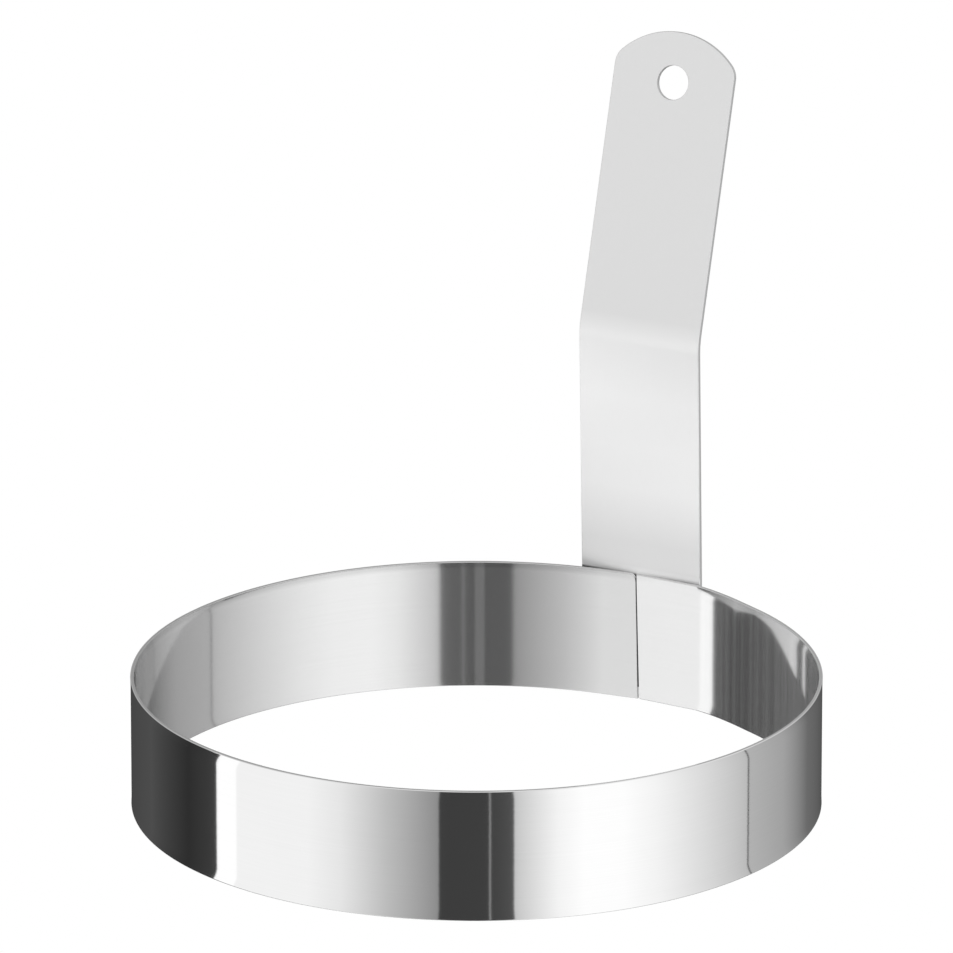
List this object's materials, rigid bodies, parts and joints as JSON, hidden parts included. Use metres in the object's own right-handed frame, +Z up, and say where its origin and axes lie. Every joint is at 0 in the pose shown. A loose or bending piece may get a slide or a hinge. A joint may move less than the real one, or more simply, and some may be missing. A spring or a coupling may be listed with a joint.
{
  "type": "egg ring with handle",
  "caption": "Round sheet-steel egg ring with a tall strip handle: a foot spot-welded behind the ring's butt joint, a slight bend and a round end with a hang hole.",
  "frame": {"origin": "centre of the ring, in the plane that its bottom rim stands on", "axes": "+Z up along the ring's axis; the handle is on the +Y side and its strip's width runs along X"},
  "size_m": [0.1284, 0.1445, 0.1282],
  "materials": {
    "ring_steel": "polished, nearly a mirror",
    "handle_steel": "satin",
    "weld_steel": "dull, as welded"
  },
  "bodies": {
    "root": {"ring_band": "ring_steel", "handle": "handle_steel", "spot_welds": "weld_steel"}
  },
  "joints": []
}
